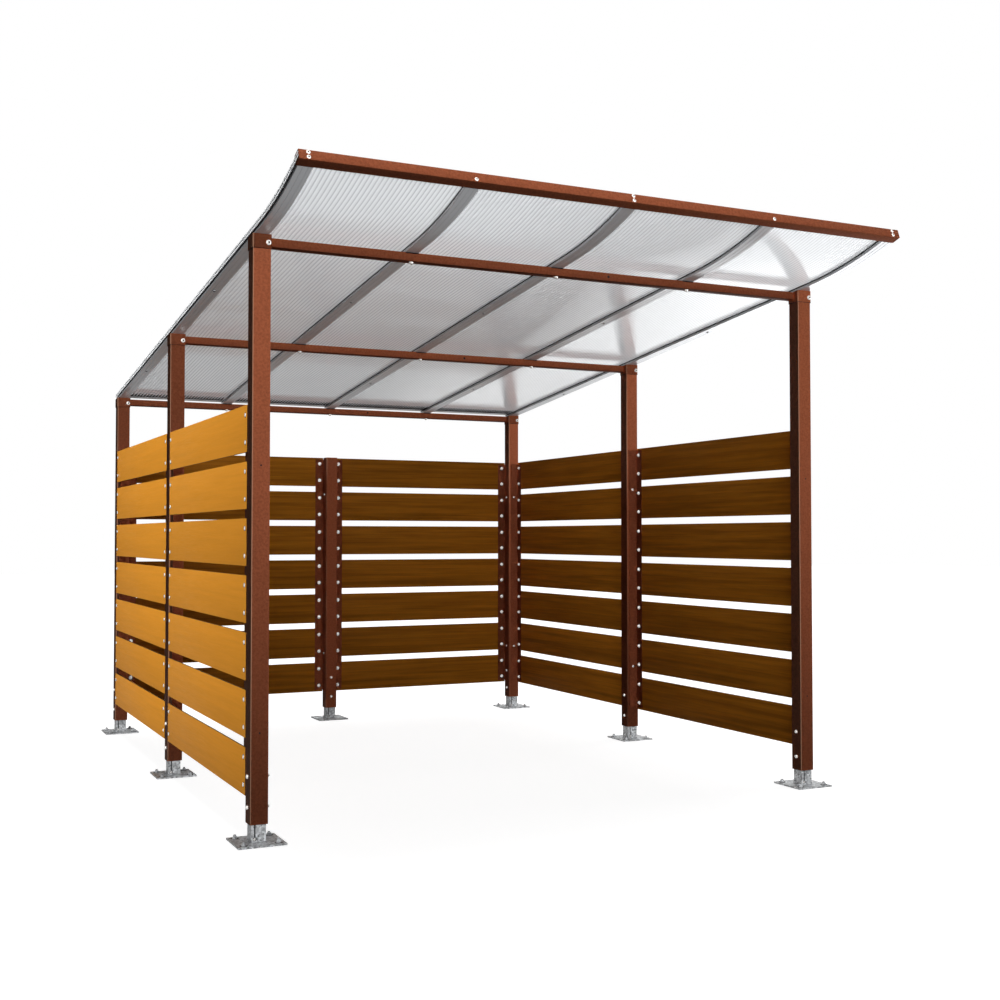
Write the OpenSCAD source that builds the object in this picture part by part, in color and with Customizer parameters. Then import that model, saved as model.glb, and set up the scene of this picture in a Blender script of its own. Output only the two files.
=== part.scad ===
// Open-fronted bin shelter: seven square posts on bolted base plates, three walls of
// horizontal boards and a sloping translucent roof that curves up into a visor.
// Units are millimetres. +X runs left to right, +Y runs from the open front to the back,
// +Z is up. The origin is on the ground under the middle of the overall box.

/* [Overall] */
// Distance between the centres of the left and right posts
span_w = 2910; // [2000:10:4000]
// Distance between the centres of the front and rear posts
span_d = 3440; // [2400:10:4400]
// Height of the roof's underside at the front posts
height_front = 2590; // [2300:5:2900]
// Height of the roof's underside at the rear posts
height_rear = 2224; // [2100:5:2700]

/* [Posts] */
// Side of the square posts
post = 80; // [60:1:120]
// Wall thickness of the square posts
post_wall = 3; // [2:0.5:5]
// Outside corner radius of the square posts
post_round = 7; // [3:0.5:12]
// Gap between the ground and the lower end of the posts
post_lift = 82; // [40:1:150]

/* [Feet] */
// Side of the square base plates
plate = 210; // [140:1:300]
// Thickness of the base plates
plate_t = 8; // [5:0.5:15]
// Distance between neighbouring anchor holes in a base plate
anchor_pitch = 150; // [90:1:240]
// Diameter of the anchor holes
anchor_d = 14; // [8:1:22]
// Clearance between the square spigot that carries the post and the inside of the post
spigot_gap = 5; // [1:0.5:12]
// Wall thickness of the spigot
spigot_wall = 4; // [2:0.5:6]
// Height of the spigot's top above the ground
spigot_top = 330; // [200:5:600]
// Width of the slit down the spigot's front
slit_w = 5; // [2:0.5:10]

/* [Beams and caps] */
// Side of the square cross beams
beam = 40; // [30:1:60]
// Wall thickness of the cross beams
beam_wall = 2.5; // [1.5:0.5:4]
// Height of the sleeve caps over the post tops
cap_h = 56; // [45:1:90]
// Wall thickness of the sleeve caps
cap_wall = 3; // [2:0.5:5]

/* [Roof] */
// Width of the rafters' hollow body
rafter_w = 64; // [50:1:100]
// Distance from the middle of the roof to the inner rafters
rafter_pitch = 749; // [500:1:1000]
// Height of the rafters' hollow body, which the sheets lie on
rafter_h = 18; // [10:0.5:40]
// Wall thickness of the rafters' body
rafter_wall = 2.5; // [1.5:0.5:4]
// Width of the rafters' upright web
web_w = 22; // [12:1:40]
// Thickness of the roof sheets
sheet_t = 16; // [6:1:25]
// Thickness of the cover strips over the sheet edges
cover_t = 4; // [2:0.5:8]
// How far the edge trims stand out past the outer rafters
trim_out = 8; // [0:0.5:20]
// Distance from the front posts' centres to the start of the curve
visor_start = 125; // [50:5:300]
// Radius of the visor's curve
visor_r = 2400; // [1200:10:4000]
// Angle through which the visor curves up
visor_sweep = 13; // [8:0.5:30]
// Height of the rail along the visor's edge
rail = 43; // [30:1:60]
// Depth of that rail from front to back
rail_d = 50; // [30:1:80]
// How far the rail reaches below the rafters
rail_drop = 0; // [0:1:30]

/* [Walls] */
// Number of boards in each bay
board_n = 7; // [3:1:9]
// Height of one board
board_h = 205; // [100:1:240]
// Gap between two boards
board_gap = 40; // [5:1:80]
// Thickness of the boards
board_t = 8; // [6:0.5:30]
// Height of the lowest board's lower edge above the ground
board_low = 192; // [120:1:400]
// Gap between a board's end and the post
end_gap = 3; // [1:0.5:8]
// Width of the fixing angles' leg on the boards
angle_w = 60; // [30:1:70]
// How far the fixing angles' other leg stops short of the post's inner edge
angle_margin = 11.7; // [2:0.1:30]
// Thickness of the fixing angles
angle_t = 3; // [2:0.5:5]
// How far the fixing angles stop short of the wall's top and bottom
angle_inset = 12; // [0:1:40]

/* [Piece] */
// Which piece to show

/* [Hidden] */
$fn = 48;
seat = 0.3;                    // clearance where one piece seats on or in another
curve_steps = 20;              // flats along the visor's curve
half_w = span_w / 2;
half_d = span_d / 2;
half = post / 2;
spigot = post - 2 * post_wall - 2 * spigot_gap;
slope = atan((height_front - height_rear) / span_d);
lip = tan(slope);
end_tilt = slope + visor_sweep;
// front to back places of the post rows, before the whole is centred
rows = [-half_d, 0, half_d];
// start of the visor's curve on the roof's underside
p0 = [-half_d - visor_start, height_front + visor_start * lip];
arc_mid = [p0[0] + visor_r * sin(slope), p0[1] + visor_r * cos(slope)];
// end of the visor's curve
p1 = [arc_mid[0] - visor_r * sin(end_tilt), arc_mid[1] - visor_r * cos(end_tilt)];
rail_tip = p1[0] - (rail_d + seat) * cos(end_tilt) - rail_drop * sin(end_tilt);
rear_tip = half_d + plate / 2;
shift_y = -(rail_tip + rear_tip) / 2;
roof_back = half_d + half;     // the roof ends over the rear posts' back faces
run = (roof_back - p0[0]) / cos(slope);
rafter_x = [-half_w, -rafter_pitch, 0, rafter_pitch, half_w];
sheet_lo = rafter_h + seat;
cover_lo = sheet_lo + sheet_t + seat;
roof_h = cover_lo + cover_t;
wall_top = board_low + board_n * board_h + (board_n - 1) * board_gap;
cap_half = half + cap_wall + seat;
leg_in = board_t + seat;       // how far inside the posts' outer faces the angles' legs start
post_leg = post - leg_in - angle_margin; // width of the angles' leg on the post

function under(y) = height_front - (y + half_d) * lip;

FRAME = [0.50, 0.27, 0.18];
ZINC = [0.72, 0.74, 0.75];
ALU = [0.75, 0.76, 0.78];
CLEAR = [0.85, 0.88, 0.90];
BOARD = [0.78, 0.50, 0.18];

// ---- shared shapes ----

// square with rounded corners, centred
module round_square(side, r) {
  square([side, side - 2 * r], center = true);
  square([side - 2 * r, side], center = true);
  for (sx = [-1, 1], sy = [-1, 1]) translate([sx * (side / 2 - r), sy * (side / 2 - r)]) circle(r);
}

module square_tube(side, wall, r, len) {
  linear_extrude(len) difference() {
    round_square(side, r);
    round_square(side - 2 * wall, r - wall / 2);
  }
}

// point on the roof's line, h above its underside, t degrees into the visor's curve
function curve_pt(t, h) = [arc_mid[0] - (visor_r - h) * sin(slope + t), arc_mid[1] - (visor_r - h) * cos(slope + t)];
// point on the roof's straight part, h above its underside, at the back end
function back_pt(h) = [p0[0] + run * cos(slope) + h * sin(slope), p0[1] - run * sin(slope) + h * cos(slope)];

// strip that follows the roof: straight from the back, then up the visor's curve.
// x0..x1 across, lo..hi above the roof's underside, past its two ends by over
module roof_strip(x0, x1, lo, hi, over = 0) {
  back = over * [cos(slope), -sin(slope)];
  front = over * [-cos(end_tilt), sin(end_tilt)];
  translate([x0, shift_y, 0]) rotate([90, 0, 90]) linear_extrude(x1 - x0) polygon(concat(
    [back_pt(lo) + back],
    [for (k = [0 : curve_steps]) curve_pt(visor_sweep * k / curve_steps, lo) + (k == curve_steps ? front : [0, 0])],
    [for (k = [curve_steps : -1 : 0]) curve_pt(visor_sweep * k / curve_steps, hi) + (k == curve_steps ? front : [0, 0])],
    [back_pt(hi) + back]
  ));
}

// ---- posts ----

module tall_post(x, y) {
  top = under(y + half) - cap_wall - 3 * seat;
  color(FRAME) translate([x, y + shift_y, post_lift])
    square_tube(post, post_wall, post_round, top - post_lift);
}

module post_front_left() { tall_post(-half_w, rows[0]); }
module post_front_right() { tall_post(half_w, rows[0]); }
module post_middle_left() { tall_post(-half_w, rows[1]); }
module post_middle_right() { tall_post(half_w, rows[1]); }
module post_rear_left() { tall_post(-half_w, rows[2]); }
module post_rear_right() { tall_post(half_w, rows[2]); }

plug_t = 3;
plug_skirt = 20;

// short post in the middle of the rear wall, as high as the boards
module post_rear_middle() {
  color(FRAME) translate([0, rows[2] + shift_y, post_lift])
    square_tube(post, post_wall, post_round, wall_top - plug_t - post_lift);
}

module post_plug_rear_middle() {
  inner = post - 2 * post_wall - 2 * seat;
  color(FRAME) translate([0, rows[2] + shift_y, wall_top - plug_t]) {
    linear_extrude(plug_t) round_square(post, post_round);
    translate([0, 0, -plug_skirt]) linear_extrude(plug_skirt + plug_t / 2)
      round_square(inner, post_round - post_wall / 2);
  }
}

// ---- feet ----

module foot(x, y) {
  inner = post - 2 * post_wall - 2 * seat;
  pad_low = post_lift + 25;
  color(ZINC) translate([x, y + shift_y, 0]) difference() {
    union() {
      translate([-plate / 2, -plate / 2, 0]) cube([plate, plate, plate_t]);
      translate([-spigot / 2, -spigot / 2, plate_t / 2])
        cube([spigot, spigot, spigot_top - plate_t / 2]);
      // two guide collars fill the post's bore around the fixing bolts
      for (z = [pad_low, pad_low + 130]) translate([0, 0, z])
        linear_extrude(60) round_square(inner, post_round - post_wall / 2);
    }
    translate([-(spigot / 2 - spigot_wall), -(spigot / 2 - spigot_wall), plate_t])
      cube([spigot - 2 * spigot_wall, spigot - 2 * spigot_wall, spigot_top]);
    for (sx = [-1, 1], sy = [-1, 1])
      translate([sx * anchor_pitch / 2, sy * anchor_pitch / 2, -1]) cylinder(h = plate_t + 2, d = anchor_d);
    translate([-spigot / 4 - slit_w / 2, -spigot / 2 - 20, plate_t])
      cube([slit_w, 20 + spigot_wall + 1, spigot_top]);
  }
}

module foot_front_left() { foot(-half_w, rows[0]); }
module foot_front_right() { foot(half_w, rows[0]); }
module foot_middle_left() { foot(-half_w, rows[1]); }
module foot_middle_right() { foot(half_w, rows[1]); }
module foot_rear_left() { foot(-half_w, rows[2]); }
module foot_rear_right() { foot(half_w, rows[2]); }
module foot_rear_middle() { foot(0, rows[2]); }

// ---- beams and caps ----

// each beam lies at the roof's slope, its back edge in line with the posts' back faces
module beam_at(y) {
  reach = half_w - cap_half - seat;
  drop = seat;
  color(FRAME) translate([0, y + half + shift_y, under(y + half) - drop]) rotate([-slope, 0, 0])
    translate([-reach, -beam, -beam]) difference() {
      cube([2 * reach, beam, beam]);
      translate([-1, beam_wall, beam_wall]) cube([2 * reach + 2, beam - 2 * beam_wall, beam - 2 * beam_wall]);
    }
}

module beam_front() { beam_at(rows[0]); }
module beam_middle() { beam_at(rows[1]); }
module beam_rear() { beam_at(rows[2]); }

// sleeve caps over the two post tops of a row, their tops cut at the roof's slope
module caps_at(y) {
  top = under(y) - seat;
  color(FRAME) for (sx = [-1, 1]) translate([sx * half_w, y + shift_y, 0]) difference() {
    translate([0, 0, top - cap_h]) linear_extrude(cap_h + post)
      round_square(2 * cap_half, post_round + cap_wall);
    // the post's own room
    translate([0, 0, top - cap_h - 1]) linear_extrude(cap_h + 1 - cap_wall - half * lip - seat)
      round_square(post + 2 * seat, post_round + seat);
    // everything above the roof's underside
    translate([-post, 0, top]) rotate([-slope, 0, 0]) translate([0, -2 * post, 0])
      cube([2 * post, 4 * post, 3 * post]);
  }
}

module caps_front() { caps_at(rows[0]); }
module caps_middle() { caps_at(rows[1]); }
module caps_rear() { caps_at(rows[2]); }

// ---- visor rail ----

rail_wall = 2.5;
rail_reach = half_w + half;
rail_plug_t = 2.5;

module rail_frame() {
  translate([0, p1[0] + shift_y, p1[1]]) rotate([-end_tilt, 0, 0])
    translate([0, -rail_d - seat, -rail_drop]) children();
}

module visor_rail() {
  tube = rail_reach - rail_plug_t;
  color(FRAME) rail_frame() difference() {
    translate([-tube, 0, 0]) cube([2 * tube, rail_d, rail]);
    translate([-tube - 1, rail_wall, rail_wall])
      cube([2 * tube + 2, rail_d - 2 * rail_wall, rail - 2 * rail_wall]);
  }
}

module visor_rail_plugs() {
  inset = rail_wall + seat;
  color(FRAME) rail_frame() for (sx = [-1, 1]) {
    translate([sx > 0 ? rail_reach - rail_plug_t : -rail_reach, 0, 0]) cube([rail_plug_t, rail_d, rail]);
    translate([sx > 0 ? rail_reach - 15 : -rail_reach + rail_plug_t / 2, inset, inset])
      cube([15 - rail_plug_t / 2, rail_d - 2 * inset, rail - 2 * inset]);
  }
}

// ---- rafters and roof sheets ----

module rafter(x) {
  color(ALU) {
    difference() {
      roof_strip(x - rafter_w / 2, x + rafter_w / 2, 0, rafter_h);
      roof_strip(x - rafter_w / 2 + rafter_wall, x + rafter_w / 2 - rafter_wall,
        rafter_wall, rafter_h - rafter_wall, 5);
    }
    roof_strip(x - web_w / 2, x + web_w / 2, rafter_h - rafter_wall / 2, cover_lo + cover_t / 2);
    roof_strip(x - rafter_w / 2 + 4, x + rafter_w / 2 - 4, cover_lo, roof_h);
  }
}

module rafter_left() { rafter(rafter_x[0]); }
module rafter_mid_left() { rafter(rafter_x[1]); }
module rafter_centre() { rafter(rafter_x[2]); }
module rafter_mid_right() { rafter(rafter_x[3]); }
module rafter_right() { rafter(rafter_x[4]); }

// one sheet between two neighbouring rafters, its edges on their bodies
module sheet(i) {
  color(CLEAR) roof_strip(rafter_x[i] + web_w / 2 + 4, rafter_x[i + 1] - web_w / 2 - 4,
    sheet_lo, sheet_lo + sheet_t);
}

module roof_sheet_left() { sheet(0); }
module roof_sheet_mid_left() { sheet(1); }
module roof_sheet_mid_right() { sheet(2); }
module roof_sheet_right() { sheet(3); }

// channel that closes the outer side of an edge rafter
module edge_trim(s) {
  x_in = half_w + web_w / 2 + seat;
  x_out = half_w + rafter_w / 2 + trim_out;
  a = s > 0 ? x_in : -x_out;
  b = s > 0 ? x_out : -x_in;
  skin = 3;
  color(ALU) {
    roof_strip(a, b, sheet_lo, sheet_lo + skin);
    roof_strip(a, b, sheet_lo + sheet_t - skin, sheet_lo + sheet_t);
    roof_strip(s > 0 ? b - skin : a, s > 0 ? b : a + skin, sheet_lo, sheet_lo + sheet_t);
  }
}

module edge_trim_left() { edge_trim(-1); }
module edge_trim_right() { edge_trim(1); }

// ---- boards ----

// side wall bay: s is the side, r the row at the bay's front
module side_boards(s, r) {
  y0 = rows[r] + half + end_gap;
  y1 = rows[r + 1] - half - end_gap;
  x0 = s > 0 ? half_w + half - board_t : -half_w - half;
  color(BOARD) for (k = [0 : board_n - 1])
    translate([x0, y0 + shift_y, board_low + k * (board_h + board_gap)])
      cube([board_t, y1 - y0, board_h]);
}

// rear wall bay on side s
module rear_boards(s) {
  x_in = half + end_gap;
  x_out = half_w - half - end_gap;
  color(BOARD) for (k = [0 : board_n - 1])
    translate([s > 0 ? x_in : -x_out, rows[2] + half - board_t + shift_y, board_low + k * (board_h + board_gap)])
      cube([x_out - x_in, board_t, board_h]);
}

module boards_left_front() { side_boards(-1, 0); }
module boards_left_rear() { side_boards(-1, 1); }
module boards_right_front() { side_boards(1, 0); }
module boards_right_rear() { side_boards(1, 1); }
module boards_rear_left() { rear_boards(-1); }
module boards_rear_right() { rear_boards(1); }

// ---- fixing angles ----

// an angle in plan: a leg lx wide from the origin along +X, another ly wide along +Y
module angle_bar(lx, ly) {
  low = board_low + angle_inset;
  high = wall_top - angle_inset;
  translate([0, 0, low]) linear_extrude(high - low)
    polygon([[0, 0], [lx, 0], [lx, angle_t], [angle_t, angle_t], [angle_t, ly], [0, ly]]);
}

// s is the side; d is +1 where the boards run forward from the post, -1 where they run back
module side_angle(s, r, d) {
  translate([s * (half_w + half - leg_in), rows[r] - d * (half + seat) + shift_y, 0])
    mirror([s > 0 ? 1 : 0, 0, 0]) mirror([0, d > 0 ? 1 : 0, 0]) angle_bar(post_leg, angle_w);
}

// x is the post's centre, d is +1 where the boards run to the right of it
module rear_angle(x, d) {
  translate([x + d * (half + seat), rows[2] + half - leg_in + shift_y, 0])
    mirror([d > 0 ? 0 : 1, 0, 0]) mirror([0, 1, 0]) angle_bar(angle_w, post_leg);
}

module side_angles(s) {
  color(FRAME) {
    side_angle(s, 0, -1);
    side_angle(s, 1, 1);
    side_angle(s, 1, -1);
    side_angle(s, 2, 1);
  }
}

module angles_left_wall() { side_angles(-1); }
module angles_right_wall() { side_angles(1); }
module angles_rear_wall() {
  color(FRAME) {
    rear_angle(-half_w, 1);
    rear_angle(0, -1);
    rear_angle(0, 1);
    rear_angle(half_w, -1);
  }
}

// ---- what is shown ----

post_front_left();
post_front_right();
post_middle_left();
post_middle_right();
post_rear_left();
post_rear_right();
post_rear_middle();
post_plug_rear_middle();
foot_front_left();
foot_front_right();
foot_middle_left();
foot_middle_right();
foot_rear_left();
foot_rear_right();
foot_rear_middle();
beam_front();
beam_middle();
beam_rear();
caps_front();
caps_middle();
caps_rear();
visor_rail();
visor_rail_plugs();
rafter_left();
rafter_mid_left();
rafter_centre();
rafter_mid_right();
rafter_right();
roof_sheet_left();
roof_sheet_mid_left();
roof_sheet_mid_right();
roof_sheet_right();
edge_trim_left();
edge_trim_right();
boards_left_front();
boards_left_rear();
boards_right_front();
boards_right_rear();
boards_rear_left();
boards_rear_right();
angles_left_wall();
angles_right_wall();
angles_rear_wall();
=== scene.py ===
"""Open-fronted bin shelter: seven square posts on bolted feet, three walls of laminate boards
and a ribbed translucent roof on aluminium rafters, which curves up into a visor.

+X runs left to right, +Y from the open front to the back, +Z up; sizes are in metres.
"""

import math

import bmesh
import bpy
from mathutils import Matrix, Vector


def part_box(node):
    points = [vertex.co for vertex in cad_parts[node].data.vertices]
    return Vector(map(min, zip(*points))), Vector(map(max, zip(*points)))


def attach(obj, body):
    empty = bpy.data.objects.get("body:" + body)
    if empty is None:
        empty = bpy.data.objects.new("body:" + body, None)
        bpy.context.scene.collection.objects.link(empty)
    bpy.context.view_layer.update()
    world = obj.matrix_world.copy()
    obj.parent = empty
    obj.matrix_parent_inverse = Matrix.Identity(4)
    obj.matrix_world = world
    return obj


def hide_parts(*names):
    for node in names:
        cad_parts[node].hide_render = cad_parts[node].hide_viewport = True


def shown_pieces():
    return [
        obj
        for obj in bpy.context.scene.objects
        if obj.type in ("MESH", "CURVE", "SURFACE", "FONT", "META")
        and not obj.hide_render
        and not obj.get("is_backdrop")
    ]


bl_info = {
    "name": "Bin Shelter",
    "version": (1, 0, 0),
    "blender": (4, 5, 0),
    "location": "View3D > Sidebar > Shelter",
    "description": "Builds the visible pieces and finishes of an open-fronted bin shelter on its CAD frame",
    "category": "Object",
}

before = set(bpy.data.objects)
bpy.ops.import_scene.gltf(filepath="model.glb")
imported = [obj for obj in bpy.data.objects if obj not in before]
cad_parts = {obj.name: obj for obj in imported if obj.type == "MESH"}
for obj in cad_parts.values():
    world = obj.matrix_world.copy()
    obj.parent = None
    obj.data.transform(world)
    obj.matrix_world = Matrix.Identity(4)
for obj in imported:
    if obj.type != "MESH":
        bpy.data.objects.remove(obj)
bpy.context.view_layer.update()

MM = 0.001
ROWS = ("front", "middle", "rear")
SIDES = {"left": -1, "right": 1}
RAFTERS = ("left", "mid_left", "centre", "mid_right", "right")
SHEETS = ("left", "mid_left", "mid_right", "right")
POSTS = [f"{row}_{side}" for row in ROWS for side in SIDES] + ["rear_middle"]

HALF_POST = 40 * MM
HALF_BEAM = 20 * MM
ANGLE_LEG = 3.3 * MM
FOOT_TOP = 8 * MM
RAIL_GAP = 0.3 * MM


# ---- properties ----


def length(label, text, mm, low=0.0):
    """A size property that is shown in the scene's length unit."""
    return bpy.props.FloatProperty(
        name=label, description=text, default=mm * MM, min=low, precision=4, unit="LENGTH", subtype="DISTANCE"
    )


def colour(label, text, code):
    """A colour property written as an sRGB hex code."""
    return bpy.props.FloatVectorProperty(
        name=label, description=text, default=linear(code), size=3, min=0.0, max=1.0, subtype="COLOR"
    )


def linear(code):
    """Linear red, green and blue of an sRGB hex code."""
    parts = [int(code[i : i + 2], 16) / 255 for i in (1, 3, 5)]
    return tuple(c / 12.92 if c <= 0.04045 else ((c + 0.055) / 1.055) ** 2.4 for c in parts)


class ShelterSizes(bpy.types.PropertyGroup):
    """Sizes of the shelter's visible details."""

    roof_height: length("Roof height", "From the rafters' underside to the top of their cover strips", 38.6)
    visor_start: length("Visor start", "From the front posts' centres to the start of the visor's curve", 125)
    visor_radius: length("Visor radius", "Radius of the rafters' underside along the visor", 2400)
    visor_sweep: bpy.props.FloatProperty(
        name="Visor sweep", description="Angle through which the visor curves up", default=math.radians(13),
        unit="ROTATION", subtype="ANGLE",
    )
    curve_steps: bpy.props.IntProperty(
        name="Curve steps", description="Flats along the visor's curve", default=20, min=4
    )
    rail_depth: length("Rail depth", "Visor rail from front to back", 50, 0.02)
    rail_height: length("Rail height", "Visor rail from below to above", 43, 0.02)
    tube_round: length("Tube edge", "Outside corner radius of the beams and the visor rail", 3)
    rib_pitch: length("Rib pitch", "Distance between neighbouring ribs of the roof sheets", 20, 0.004)
    rib_depth: length("Rib depth", "How far the sheets' skins swell between two ribs", 0.45)
    board_edge: length("Board edge", "Rounding of the boards' edges", 1.2)
    board_pitch: length("Board pitch", "Distance between neighbouring boards", 245, 0.05)
    board_height: length("Board height", "Height of one board", 205, 0.05)
    board_bolt_in: length("Board bolt inset", "From a post's face to the middle of the board bolts", 30)
    board_bolt_edge: length("Board bolt edge", "From a board's long edge to the middle of its bolts", 43)
    board_bolt: length("Board bolt head", "Diameter of the button heads outside the boards", 19.2)
    board_nut: length("Board nut", "Diameter of the washers under the dome nuts inside the walls", 24.1)
    cap_bolt: length("Cap bolt head", "Diameter of the dome heads on the caps", 23)
    foot_bolt: length("Foot bolt head", "Diameter of the heads that hold the posts on their feet", 19)
    rail_bolt: length("Rail bolt head", "Diameter of the heads on the visor rail", 17)
    anchor: length("Anchor bolt", "Diameter of the anchor bolts' shanks", 12)
    anchor_pitch: length("Anchor pitch", "Distance between neighbouring anchor bolts of a foot", 150)


class ShelterColours(bpy.types.PropertyGroup):
    """Colours of the shelter's finishes."""

    coat: colour("Powder coat", "Rust-brown coat of the frame", "#8F4F35")
    board: colour("Board face", "Honey-coloured decor of the boards", "#D68E2E")
    # the inner faces' deeper tone is painted shade: the decor is the same on both sides of a board, and the shelter's
    # inside lies in shade
    board_inner_shaded: colour("Board face inside", "Deeper decor of the boards' inner faces", "#B87320")
    core: colour("Board core", "Dark resin core that shows at the boards' edges", "#3A2212")
    zinc: colour("Galvanised steel", "Hot-dip zinc of the feet", "#AEB0B2")
    aluminium: colour("Aluminium", "Bright drawn aluminium of the rafters", "#C2C4C7")
    trim: colour("Edge trim", "Satin anodised edge trims", "#D2D4D6")
    sheet: colour("Roof sheet", "Clear ribbed polycarbonate", "#E9EBED")
    steel: colour("Bolts", "Stainless bolts, nuts and washers", "#E8E6E2")
    # this black colours real gaskets and plugs, and also the painted shade of rims, holes, sockets, slots and shade
    # strips
    rubber_and_shade: colour("Gaskets", "Black rubber gaskets and plugs", "#101112")


# ---- places, taken from the frame ----


def middle(node):
    """Centre of a CAD node's box."""
    low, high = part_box(node)
    return (low + high) / 2


def ground(node):
    """The point on the ground under a CAD node's centre."""
    return middle(node).to_2d().to_3d()


class RoofLine:
    """The line that every rafter, sheet and trim follows: straight from the back, then up the visor."""

    def __init__(self, sizes):
        front, rear = middle("beam_front"), middle("beam_rear")
        low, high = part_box("rafter_centre")
        self.slope = math.atan2(front.z - rear.z, rear.y - front.y)
        self.sweep, self.steps = sizes.visor_sweep, sizes.curve_steps
        self.end_tilt = self.slope + self.sweep
        self.radius = sizes.visor_radius
        self.up = Vector((0, math.sin(self.slope), math.cos(self.slope)))
        self.along = Vector((0, -math.cos(self.slope), math.sin(self.slope)))
        self.back = Vector((0, high.y - sizes.roof_height * math.sin(self.slope), low.z))
        start = middle("post_front_left").y - sizes.visor_start
        self.run = (self.back.y - start) / math.cos(self.slope)
        self.centre = self.back + self.along * self.run + self.up * self.radius

    def straight(self, x, y):
        """The point of the rafters' straight underside at the place x, y."""
        return Vector((x, 0, 0)) + self.back + self.along * ((self.back.y - y) / math.cos(self.slope))

    def sloped(self, at):
        """Places a shape that was made level at a point, with the slope of the straight roof."""
        return Matrix.Translation(at) @ Matrix.Rotation(-self.slope, 4, "X")

    def tip(self):
        """Places a shape that was made level at the end of the visor, on the rafters' underside."""
        down = Vector((0, -math.sin(self.end_tilt), -math.cos(self.end_tilt)))
        return Matrix.Translation(self.centre + down * self.radius) @ Matrix.Rotation(-self.end_tilt, 4, "X")


def rafter_gaps(inset):
    """Left and right ends of the gaps between the rafters, inset from the rafters' middles."""
    for left, right in zip(RAFTERS, RAFTERS[1:]):
        yield middle(f"rafter_{left}").x + inset, middle(f"rafter_{right}").x - inset


def bay_ends():
    """Each end of a bay of the walls: its post, the way from the post into the bay, and the way outwards."""
    for side, s in SIDES.items():
        for row, way in (("front", 1), ("middle", -1), ("middle", 1), ("rear", -1)):
            yield f"post_{row}_{side}", Vector((0, way, 0)), Vector((s, 0, 0))
    for post, way in (("left", 1), ("middle", -1), ("middle", 1), ("right", -1)):
        yield f"post_rear_{post}", Vector((way, 0, 0)), Vector((0, 1, 0))


def board_feet(node, sizes):
    """Height of the lower edge of each board of a bay."""
    low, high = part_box(node)
    count = round((high.z - low.z + sizes.board_pitch - sizes.board_height) / sizes.board_pitch)
    return [low.z + index * sizes.board_pitch for index in range(count)]


# ---- shaping helpers ----


def into_mesh(bm, name):
    """Closes a shape, turns it outwards and makes it a mesh."""
    bmesh.ops.remove_doubles(bm, verts=bm.verts, dist=1e-6)
    bmesh.ops.recalc_face_normals(bm, faces=bm.faces)
    mesh = bpy.data.meshes.new(name)
    bm.to_mesh(mesh)
    bm.free()
    return mesh


def finish_piece(bm, name, materials, replaces=(), smooth=35):
    """Makes a shape a piece that rides on the shelter's frame."""
    mesh = into_mesh(bm, name)
    for material in materials:
        mesh.materials.append(bpy.data.materials[material])
    mesh.polygons.foreach_set("use_smooth", [True] * len(mesh.polygons))
    mesh.set_sharp_from_angle(angle=math.radians(smooth))
    piece = bpy.data.objects.new(name, mesh)
    bpy.context.scene.collection.objects.link(piece)
    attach(piece, "root")
    if replaces:
        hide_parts(*replaces)


def dress(node, material):
    """Gives a CAD node its finish."""
    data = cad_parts[node].data
    data.materials.clear()
    data.materials.append(bpy.data.materials[material])


def paint_new(bm, before, material):
    """Gives a material to the faces that a shape has more than before."""
    made = [face for face in bm.faces if face not in before]
    for face in made:
        face.material_index = material
    return made


def block(bm, low, high, edge=0.0, segments=1, lengthwise=None, material=0, place=None):
    """A box between two corners, moved by place; lengthwise rounds only the edges along that axis."""
    low, high = Vector(low), Vector(high)
    before = set(bm.faces)
    verts = bmesh.ops.create_cube(bm, size=1.0)["verts"]
    bmesh.ops.scale(bm, vec=high - low, verts=verts)
    bmesh.ops.translate(bm, vec=(low + high) / 2, verts=verts)
    if edge > 0:
        edges = {e for v in verts for e in v.link_edges}
        if lengthwise is not None:
            edges = {e for e in edges if abs((e.verts[0].co - e.verts[1].co).normalized()[lengthwise]) > 0.9}
        bmesh.ops.bevel(
            bm, geom=list(edges), offset=edge, segments=segments, affect="EDGES", profile=0.5, material=-1
        )
    verts = list({v for face in paint_new(bm, before, material) for v in face.verts})
    if place is not None:
        bmesh.ops.transform(bm, matrix=place, verts=verts)
    return verts


def turned(bm, profile, steps, material):
    """A shape turned about the Z axis from a profile of (radius, height) points."""
    before = set(bm.faces)
    verts = [bm.verts.new((r, 0, h)) for r, h in profile]
    edges = [bm.edges.new(pair) for pair in zip(verts, verts[1:])]
    bmesh.ops.spin(
        bm, geom=verts + edges, cent=(0, 0, 0), axis=(0, 0, 1), dvec=(0, 0, 0), angle=2 * math.pi,
        steps=steps, use_merge=True, use_duplicate=False,
    )
    paint_new(bm, before, material)


def template(*shapes):
    """A small mesh that is stamped many times; each shape is (profile in millimetres, steps, material)."""
    bm = bmesh.new()
    for profile, steps, material in shapes:
        turned(bm, [(r * MM, h * MM) for r, h in profile], steps, material)
    return into_mesh(bm, "template")


def disc(radius, low, high, steps, material=0):
    """A template's washer or plate."""
    return [(0, low), (radius, low), (radius, high), (0, high)], steps, material


def dome(across, high):
    """A template's dome head, open where its socket goes."""
    radius = across / 2
    return [(0, 0), (radius, 0), (radius, high * 0.25), (across * 0.36, high * 0.78), (across * 0.2, high)], 16, 0


def socket(across, high):
    """The hexagon socket of a dome head; its floor is painted black as the shade inside it."""
    return [(across * 0.2, high), (across * 0.16, high * 0.5), (0, high * 0.5)], 6, 1


def stamp(bm, mesh, at, facing, turn=0.0):
    """Adds a copy of a template that stands at a point and faces a direction."""
    count = len(bm.verts)
    bm.from_mesh(mesh)
    bm.verts.ensure_lookup_table()
    place = Matrix.Translation(at) @ Vector(facing).to_track_quat("Z", "Y").to_matrix().to_4x4()
    bmesh.ops.transform(bm, matrix=place @ Matrix.Rotation(turn, 4, "Z"), verts=bm.verts[count:])


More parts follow.
